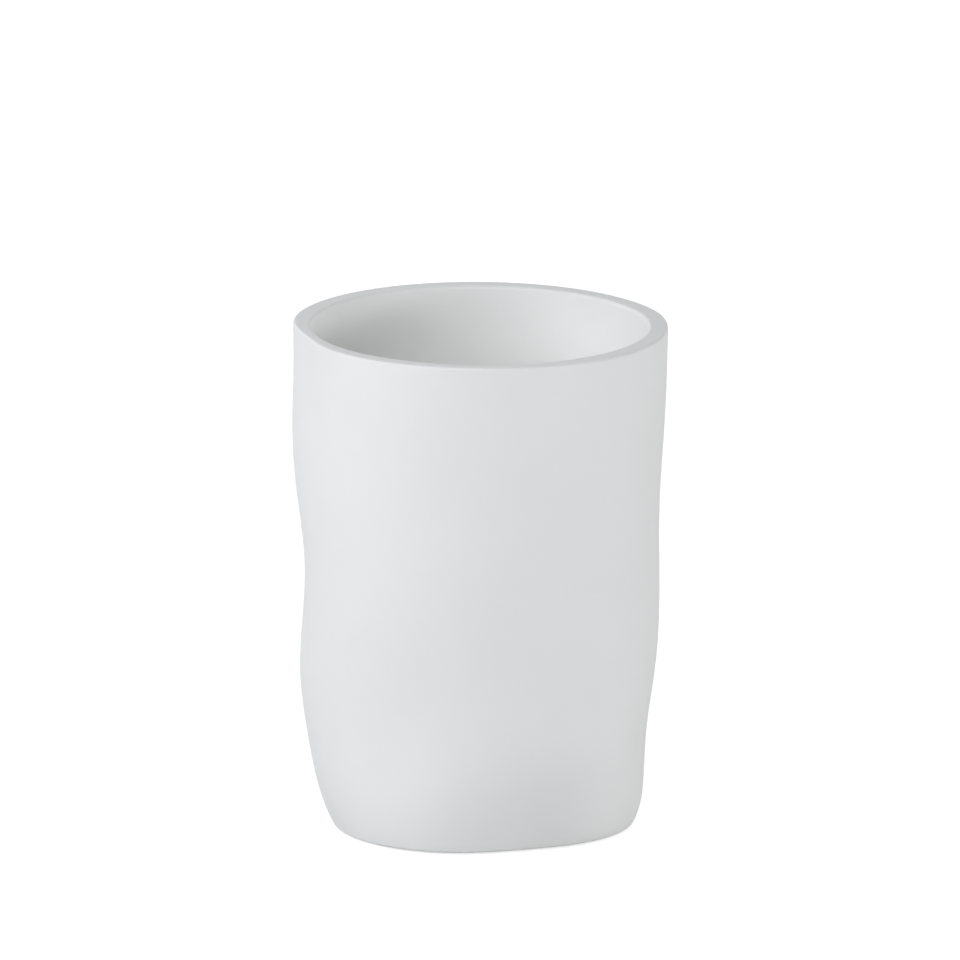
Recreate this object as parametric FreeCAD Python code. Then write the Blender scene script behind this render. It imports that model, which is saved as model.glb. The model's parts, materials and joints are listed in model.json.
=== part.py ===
import FreeCAD, Part
import math
import os

# A one-piece cast bathroom tumbler on four stick-on feet.
# The origin is on the standing plane, under the middle of the cup. -Y is the front.

# Driving dimensions, in millimetres.
rim_height = 110.0            # middle of the rim above the surface
rim_fall = 0.5                # how much lower the rim is on the right than on the left

# Outer wall: a straight taper from the rim down, drawn in at the heel.
rim_radius = 40.3
taper_foot_radius = 37.0      # where the straight taper would meet the base
heel_draw = 5.3               # how far the heel is drawn in at the base edge
heel_height = 10.2            # height over which the draw fades
swell_depth = 4.0             # the deepest soft push in the wall

# Inside of the cup, as wall and floor thicknesses inside the straight taper.
rim_wall = 4.2
floor_wall = 8.0
floor_thickness = 6.0
floor_round = 12.0

# Rounded edges of the casting.
rim_outer_round = 0.6
rim_inner_round = 0.8
base_edge_round = 0.8

# Feet stuck in a shallow recess under the base.
foot_radius = 5.0
foot_thickness = 1.3
foot_edge_round = 0.4
foot_stand = 0.5              # how far the feet hold the casting off the surface
foot_gap = 1.0                # between a foot and the wall of the recess
base_ring = 2.2               # least width of the flat ring round the recess
adhesive_thickness = 0.2
adhesive_inset = 0.5          # the disc stops short of the edge of its foot

# One overrun for all cuts.
cut_overrun = 2.0

# Soft pushes in and out of the wall, as a hand leaves them in clay. Each row is
# the bearing in degrees (0 is +X, 90 the back), the height as a share of the wall, the reach
# round in degrees, the reach up as a share of the wall, and the depth as a share of swell_depth.
swell_shares = [
    # left side, from the shoulder down
    (170, 0.76, 25, 0.16, 0.25),
    (175, 0.53, 28, 0.12, -0.28),
    (172, 0.29, 32, 0.11, 0.25),
    # hollows down the front, to the left
    (263, 0.74, 25, 0.15, -0.26),
    (250, 0.44, 28, 0.17, -0.20),
    (265, 0.28, 28, 0.14, -0.14),
    (245, 0.22, 30, 0.18, -0.68),
    (290, 0.00, 34, 0.14, -1.00),
    # swells down the front, to the right
    (312, 0.80, 35, 0.19, 0.39),
    (318, 0.38, 30, 0.28, 0.52),
    (310, 0.20, 20, 0.11, 0.35),
    # right side, from the shoulder down
    (4, 0.65, 30, 0.16, -0.20),
    (0, 0.20, 27, 0.11, -0.30),
    (10, 0.00, 42, 0.08, 0.38),
    # rim
    (268, 1.00, 40, 0.16, -0.18),
    (148, 1.00, 50, 0.10, 0.07),
    (196, 0.98, 17, 0.15, -0.39),
    (20, 0.98, 12, 0.11, 0.09),
    # back
    (60, 0.70, 40, 0.18, -0.20),
    (125, 0.62, 35, 0.16, -0.18),
    (92, 0.42, 42, 0.20, 0.20),
    (40, 0.25, 38, 0.15, -0.18),
    (110, 0.20, 42, 0.14, 0.18),
    (105, 0.00, 45, 0.10, -0.50),
]

# The round of the mouth takes at most this share of the narrowest stretch of rim.
mouth_round_share = 0.6

# Sections of the wall, closer together towards the heel, the steps across a rounded edge,
# and the points on each section.
section_count = 18
section_crowding = 1.4
edge_steps = 4
points_per_section = 36

# The feet are spread evenly, in this order round the base.
foot_places = ["back_right", "back_left", "front_left", "front_right"]

# Heights that follow from the sizes above.
recess_depth = foot_thickness + adhesive_thickness - foot_stand
wall_height = rim_height - foot_stand
floor_height = foot_stand + recess_depth + floor_thickness

# The wall runs between its two rounded edges. At the base it leans out as the heel does.
base_lean = math.atan2(heel_draw, heel_height)
wall_bottom = foot_stand + base_edge_round * (1 - math.sin(base_lean))
wall_top = rim_height - rim_outer_round

# The bore is round, and follows the straight taper inside the wavy wall.
bore_mouth_radius = rim_radius - rim_wall
bore_floor_radius = taper_foot_radius - floor_wall

up = FreeCAD.Vector(0, 0, 1)
section_bearings = [360 * index / points_per_section for index in range(points_per_section)]


def polar(radius, bearing, height):
    """A point at a radius and a bearing in degrees."""
    angle = math.radians(bearing)
    return FreeCAD.Vector(radius * math.cos(angle), radius * math.sin(angle), height)


def swell(bearing, height_share):
    """The sum of the soft pushes at one place on the wall."""
    depth_share = 0
    for push_bearing, push_height, reach_round, reach_up, push_depth in swell_shares:
        turn = (bearing - push_bearing + 180) % 360 - 180
        away = (turn / reach_round) ** 2 + ((height_share - push_height) / reach_up) ** 2
        depth_share += push_depth * math.exp(-away)
    return swell_depth * depth_share


def wall_radius(bearing, height):
    """Radius of the outer wall at a bearing and a height."""
    rise = height - foot_stand
    height_share = rise / wall_height
    taper = taper_foot_radius + (rim_radius - taper_foot_radius) * height_share
    heel = heel_draw * math.exp(-rise / heel_height)
    return taper - heel + swell(bearing, height_share)


def least_radius(height):
    """The smallest radius of the outer wall at a height."""
    return min(wall_radius(bearing, height) for bearing in section_bearings)


def wall_point(bearing, wall_level, inset, height):
    """A point of the wall at one level, drawn in and set at a height that falls as the rim does."""
    point = polar(wall_radius(bearing, wall_level) - inset, bearing, height)
    fall = rim_fall * (height - foot_stand) / wall_height
    point.z -= fall * point.x / (2 * rim_radius)
    return point


def section(wall_level, inset, height):
    """A closed, smooth outline of the wall at one level, drawn in and set at a height."""
    points = [wall_point(bearing, wall_level, inset, height) for bearing in section_bearings]
    outline = Part.BSplineCurve()
    outline.interpolate(Points=points, PeriodicFlag=True, Parameters=section_bearings + [360])
    return Part.Wire(outline.toShape())


def wall():
    """The wavy wall as a solid, lofted between its rounded edges."""
    shares = [(index / (section_count - 1)) ** section_crowding for index in range(section_count)]
    levels = [wall_bottom + (wall_top - wall_bottom) * share for share in shares]
    return Part.makeLoft([section(level, 0, level) for level in levels], True)


def rounded_edge(wall_level, side, edge_round, lean):
    """The solid that rounds the wall off to a flat face, above it (side 1) or below it (side -1)."""
    sections = []
    for index in range(edge_steps + 1):
        angle = lean + (math.pi / 2 - lean) * index / edge_steps
        inset = edge_round * (math.cos(lean) - math.cos(angle))
        rise = edge_round * (math.sin(angle) - math.sin(lean))
        sections.append(section(wall_level, inset, wall_level + side * rise))
    return Part.makeLoft(sections, True)


def outer_form():
    """The solid outside of the cup, from base to rim."""
    rim = rounded_edge(wall_top, 1, rim_outer_round, 0)
    base = rounded_edge(wall_bottom, -1, base_edge_round, base_lean)
    return wall().fuse([rim, base]).removeSplitter()


def lowest_edge(shape):
    """The edge that lies lowest on a turned shape."""
    return min(shape.Edges, key=lambda edge: edge.CenterOfMass.z)


def bore():
    """The round, tapered inside of the cup, with a rounded floor."""
    slope = (bore_mouth_radius - bore_floor_radius) / (rim_height - floor_height)
    above = rim_fall + cut_overrun
    corners = [
        FreeCAD.Vector(0, 0, floor_height),
        FreeCAD.Vector(bore_floor_radius, 0, floor_height),
        FreeCAD.Vector(bore_mouth_radius + slope * above, 0, rim_height + above),
        FreeCAD.Vector(0, 0, rim_height + above),
    ]
    profile = Part.Face(Part.makePolygon(corners + corners[:1]))
    plug = profile.revolve(FreeCAD.Vector(0, 0, 0), up, 360)
    return plug.makeFillet(floor_round, [lowest_edge(plug)])


def recess_radius():
    """Radius of the recess, inside a ring of the base that is narrowest where the heel is."""
    return least_radius(wall_bottom) - base_edge_round * math.cos(base_lean) - base_ring


def recess():
    """The shallow round hollow under the base."""
    start = FreeCAD.Vector(0, 0, foot_stand - cut_overrun)
    return Part.makeCylinder(recess_radius(), recess_depth + cut_overrun, start)


def round_mouth(cup):
    """The cup with the inner edge of its rim rounded."""
    rim = max(cup.Faces, key=lambda face: face.CenterOfMass.z)
    mouth = min(rim.Edges, key=lambda edge: edge.Length)
    narrowest_rim = least_radius(wall_top) - rim_outer_round - bore_mouth_radius
    return cup.makeFillet(min(rim_inner_round, narrowest_rim * mouth_round_share), [mouth])


def tumbler_body():
    """The casting: wall, floor, flat rim and underside recess."""
    return round_mouth(outer_form().cut(bore()).cut(recess()))


def foot_place(bearing, height):
    """The middle of a foot, clear of the recess's wall."""
    return polar(recess_radius() - foot_gap - foot_radius, bearing, height)


def foot(bearing):
    """A round foot, its lower edge rounded, standing on the surface."""
    pad = Part.makeCylinder(foot_radius, foot_thickness, foot_place(bearing, 0))
    return pad.makeFillet(foot_edge_round, [lowest_edge(pad)])


def adhesive(bearing):
    """The thin disc between a foot and the roof of the recess."""
    start = foot_place(bearing, foot_thickness)
    return Part.makeCylinder(foot_radius - adhesive_inset, adhesive_thickness, start)


pieces = {"tumbler_body": tumbler_body()}
for index, place in enumerate(foot_places):
    bearing = 360 * (index + 0.5) / len(foot_places)
    pieces["foot_" + place] = foot(bearing)
    pieces["adhesive_" + place] = adhesive(bearing)

os.makedirs("parts", exist_ok=True)
for name, shape in pieces.items():
    shape.exportStep("parts/" + name + ".step")
    print(name, "valid", shape.isValid(), "solids", len(shape.Solids), "volume", round(shape.Volume, 1))
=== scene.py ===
import bpy
import json
import math
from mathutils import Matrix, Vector


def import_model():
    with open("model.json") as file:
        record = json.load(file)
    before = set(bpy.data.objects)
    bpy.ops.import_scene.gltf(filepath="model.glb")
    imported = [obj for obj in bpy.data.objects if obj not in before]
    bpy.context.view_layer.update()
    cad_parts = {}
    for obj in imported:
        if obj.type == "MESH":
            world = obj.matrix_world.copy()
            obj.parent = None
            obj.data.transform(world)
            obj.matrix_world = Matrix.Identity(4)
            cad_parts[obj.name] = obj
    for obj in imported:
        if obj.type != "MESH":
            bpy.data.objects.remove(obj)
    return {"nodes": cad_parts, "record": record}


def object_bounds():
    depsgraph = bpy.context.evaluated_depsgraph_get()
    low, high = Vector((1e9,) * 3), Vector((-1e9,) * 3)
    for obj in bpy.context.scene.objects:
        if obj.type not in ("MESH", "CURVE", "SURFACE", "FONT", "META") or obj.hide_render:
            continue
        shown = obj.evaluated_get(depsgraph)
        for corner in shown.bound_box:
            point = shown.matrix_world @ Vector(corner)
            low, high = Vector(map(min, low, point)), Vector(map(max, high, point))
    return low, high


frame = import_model()
cad_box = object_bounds()

# Camera, in metres and degrees: far off, so the sides hardly draw together.
image_width = 960                     # pixels, square
camera_distance = 6.0                 # from the tumbler's axis to the lens
view_elevation = 13.5                 # of the lens above the top of the tumbler
top_row = 323.7                       # pixel row of the axis at the top of the tumbler
focal_pixels = 28790
sensor_width = 36.0                   # mm

# Matt cast resin. Noise scales are per metre, and roughness runs between two values.
resin_colour = (0.90, 0.90, 0.88)
resin_ior = 1.5
resin_specular = 0.2
resin_clouds = {"Scale": 45.0, "Detail": 3.0, "Roughness": 0.55}
resin_cloud_shade = 0.985             # the darkest cloud, as a share of the colour
resin_cloud_span = (0.3, 0.7)         # of the noise, from the darkest to the full colour
resin_matt = {"Scale": 260.0, "Detail": 4.0, "Roughness": 0.6}
resin_roughness = (0.7, 0.86)
resin_grain = {"Scale": 1500.0, "Detail": 3.0, "Roughness": 0.6}
resin_grain_strength = 0.12

# Milky silicone.
silicone_colour = (0.78, 0.79, 0.79)
silicone_ior = 1.41
silicone_clearness = 0.35
silicone_clouds = {"Scale": 400.0, "Detail": 2.0}
silicone_cloud_shade = 0.94
silicone_roughness = (0.35, 0.5)

# Clear adhesive film.
adhesive_colour = (0.88, 0.87, 0.83)
adhesive_ior = 1.47
adhesive_clearness = 0.6
adhesive_roughness = 0.25
adhesive_ripple = {"Scale": 500.0, "Detail": 2.0}
adhesive_cloud_shade = 0.95
adhesive_ripple_strength = 0.2

whole_span = (0.0, 1.0)               # all of the noise
bump_depth = 0.0002                   # m

# Soft lamps round the tumbler: bearing and elevation in degrees (0 is the viewer's side, 90 the
# viewer's right), width and height in metres, power in watts.
lamps = {
    "key_left": (-55, 26, 0.6, 0.5, 5.0),
    "side_left": (-90, 26, 0.6, 0.5, 5.0),
    "front": (2, 26, 0.6, 0.5, 5.7),
    "low_front": (45, 5, 0.8, 0.2, 1.5),
    "right": (90, 9, 0.7, 0.2, 2.8),
    "low_right": (88, 4, 0.8, 0.2, 2.5),
    "back_right": (155, 28, 0.6, 0.5, 4.0),
    "back_left": (-150, 28, 0.6, 0.5, 2.4),
    "top": (0, 80, 0.8, 0.8, 0.9),
}
lamp_distance = 1.3
cool_light = (0.98, 1.0, 1.037)       # of the lamps on the left and in front
plain_light = (1.0, 1.0, 1.024)       # of the lamps on the right
plain_from = 45                       # bearing of the first plain lamp, in degrees

# The floor is pale grey, and lifted to white only where it is seen.
floor_half = 3.0
floor_colour = (0.68, 0.68, 0.68)
floor_roughness = 0.9
floor_lift = 0.7


def new_material(name):
    """A node material with only its Principled shader and output."""
    material = bpy.data.materials.new(name)
    material.use_nodes = True
    return material, material.node_tree.nodes, material.node_tree.links


def node(nodes, kind, **settings):
    """A shader node with its properties and input values set."""
    made = nodes.new(kind)
    for key, value in settings.items():
        if key in made.inputs:
            made.inputs[key].default_value = value
        else:
            setattr(made, key, value)
    return made


def noise(nodes, links, settings):
    """Noise over a piece's own coordinates."""
    place = node(nodes, "ShaderNodeTexCoord")
    pattern = node(nodes, "ShaderNodeTexNoise", **settings)
    links.new(place.outputs["Object"], pattern.inputs["Vector"])
    return pattern.outputs["Fac"]


def cloud(nodes, links, pattern, colour, shade, span):
    """Lets a pattern darken the colour a little."""
    tint = node(nodes, "ShaderNodeValToRGB")
    dark, full = tint.color_ramp.elements
    dark.position, full.position = span
    dark.color = (*[shade * value for value in colour], 1)
    full.color = (*colour, 1)
    links.new(pattern, tint.inputs["Fac"])
    links.new(tint.outputs["Color"], nodes["Principled BSDF"].inputs["Base Color"])


def roughen(nodes, links, pattern, roughness):
    """Lets a pattern vary the roughness between two values."""
    spread = node(nodes, "ShaderNodeMapRange")
    spread.inputs["To Min"].default_value, spread.inputs["To Max"].default_value = roughness
    links.new(pattern, spread.inputs["Value"])
    links.new(spread.outputs["Result"], nodes["Principled BSDF"].inputs["Roughness"])


def emboss(nodes, links, pattern, strength):
    """Lets a pattern raise the surface a little."""
    bump = node(nodes, "ShaderNodeBump", Strength=strength, Distance=bump_depth)
    links.new(pattern, bump.inputs["Height"])
    links.new(bump.outputs["Normal"], nodes["Principled BSDF"].inputs["Normal"])


def resin():
    """Matt cast resin: faint clouds in the colour, uneven matt, and a fine stone-like grain."""
    material, nodes, links = new_material("cast_resin")
    shader = nodes["Principled BSDF"]
    shader.inputs["IOR"].default_value = resin_ior
    shader.inputs["Specular IOR Level"].default_value = resin_specular
    clouds = noise(nodes, links, resin_clouds)
    cloud(nodes, links, clouds, resin_colour, resin_cloud_shade, resin_cloud_span)
    roughen(nodes, links, noise(nodes, links, resin_matt), resin_roughness)
    emboss(nodes, links, noise(nodes, links, resin_grain), resin_grain_strength)
    return material


def silicone():
    """Milky silicone, satin, with a little cloudiness."""
    material, nodes, links = new_material("silicone")
    shader = nodes["Principled BSDF"]
    shader.inputs["IOR"].default_value = silicone_ior
    shader.inputs["Transmission Weight"].default_value = silicone_clearness
    clouds = noise(nodes, links, silicone_clouds)
    cloud(nodes, links, clouds, silicone_colour, silicone_cloud_shade, whole_span)
    roughen(nodes, links, clouds, silicone_roughness)
    return material


def adhesive():
    """Clear acrylic film with a faint ripple and a little cloudiness."""
    material, nodes, links = new_material("adhesive")
    shader = nodes["Principled BSDF"]
    shader.inputs["IOR"].default_value = adhesive_ior
    shader.inputs["Roughness"].default_value = adhesive_roughness
    shader.inputs["Transmission Weight"].default_value = adhesive_clearness
    ripple = noise(nodes, links, adhesive_ripple)
    cloud(nodes, links, ripple, adhesive_colour, adhesive_cloud_shade, whole_span)
    emboss(nodes, links, ripple, adhesive_ripple_strength)
    return material


def dress():
    """Gives every CAD node the material of its slot."""
    finishes = {"cast_resin": resin(), "silicone": silicone(), "adhesive": adhesive()}
    for subpart in frame["record"]["subparts"]:
        mesh = frame["nodes"][subpart["node"]].data
        mesh.materials.clear()
        mesh.materials.append(finishes[subpart["material_slot"]])


def background_rays(nodes, links):
    """1 for rays that see the background itself or through gloss and glass, and 0 for light."""
    path = node(nodes, "ShaderNodeLightPath")
    glossy = node(nodes, "ShaderNodeMath", operation="MAXIMUM")
    either = node(nodes, "ShaderNodeMath", operation="MAXIMUM")
    links.new(path.outputs["Is Camera Ray"], glossy.inputs[0])
    links.new(path.outputs["Is Glossy Ray"], glossy.inputs[1])
    links.new(glossy.outputs[0], either.inputs[0])
    links.new(path.outputs["Is Transmission Ray"], either.inputs[1])
    return either.outputs[0]


def floor():
    """A plain pale floor, seen as white, that keeps the tumbler's shadow."""
    mesh = bpy.data.meshes.new("floor")
    low = cad_box[0].z
    corners = [(x * floor_half, y * floor_half, low) for x, y in ((-1, -1), (1, -1), (1, 1), (-1, 1))]
    mesh.from_pydata(corners, [], [(0, 1, 2, 3)])
    sheet = bpy.data.objects.new("floor", mesh)
    bpy.context.scene.collection.objects.link(sheet)
    material, nodes, links = new_material("floor_paper")
    shader = nodes["Principled BSDF"]
    shader.inputs["Base Color"].default_value = (*floor_colour, 1)
    shader.inputs["Roughness"].default_value = floor_roughness
    shader.inputs["Specular IOR Level"].default_value = 0
    shader.inputs["Emission Color"].default_value = (1, 1, 1, 1)
    lift = node(nodes, "ShaderNodeMath", operation="MULTIPLY")
    lift.inputs[1].default_value = floor_lift
    links.new(background_rays(nodes, links), lift.inputs[0])
    links.new(lift.outputs[0], shader.inputs["Emission Strength"])
    mesh.materials.append(material)


def world():
    """White where it is seen, and no light of its own."""
    sky = bpy.data.worlds.new("studio")
    bpy.context.scene.world = sky
    sky.use_nodes = True
    nodes, links = sky.node_tree.nodes, sky.node_tree.links
    nodes["Background"].inputs["Color"].default_value = (1, 1, 1, 1)
    links.new(background_rays(nodes, links), nodes["Background"].inputs["Strength"])


def lamp(name, bearing, elevation, width, height, power):
    """A soft lamp, aimed at the middle of the tumbler and itself unseen."""
    light = bpy.data.lights.new(name, "AREA")
    light.shape = "RECTANGLE"
    light.size, light.size_y = width, height
    light.energy = power
    light.color = plain_light if bearing >= plain_from else cool_light
    holder = bpy.data.objects.new(name, light)
    turn, tilt = math.radians(bearing), math.radians(elevation)
    away = Vector((math.sin(turn) * math.cos(tilt), -math.cos(turn) * math.cos(tilt), math.sin(tilt)))
    middle = (cad_box[0] + cad_box[1]) / 2
    holder.location = middle + away * lamp_distance
    holder.rotation_euler = (-away).to_track_quat("-Z", "Y").to_euler()
    holder.visible_camera = False
    bpy.context.scene.collection.objects.link(holder)


def camera():
    """The photograph's viewpoint: square on to the front, looking down from a long way off."""
    lens = bpy.data.cameras.new("camera")
    lens.sensor_width = sensor_width
    lens.lens = focal_pixels * sensor_width / image_width
    lens.clip_end = 2 * camera_distance
    holder = bpy.data.objects.new("camera", lens)
    elevation = math.radians(view_elevation)
    rise = camera_distance * math.tan(elevation)
    pitch = elevation + math.atan((image_width / 2 - top_row) / focal_pixels)
    holder.location = (0, -camera_distance, cad_box[1].z + rise)
    holder.rotation_euler = (math.pi / 2 - pitch, 0, 0)
    bpy.context.scene.collection.objects.link(holder)
    bpy.context.scene.camera = holder


camera()
dress()
floor()
world()
for lamp_name, settings in lamps.items():
    lamp(lamp_name, *settings)
bpy.context.scene.view_settings.view_transform = "Standard"
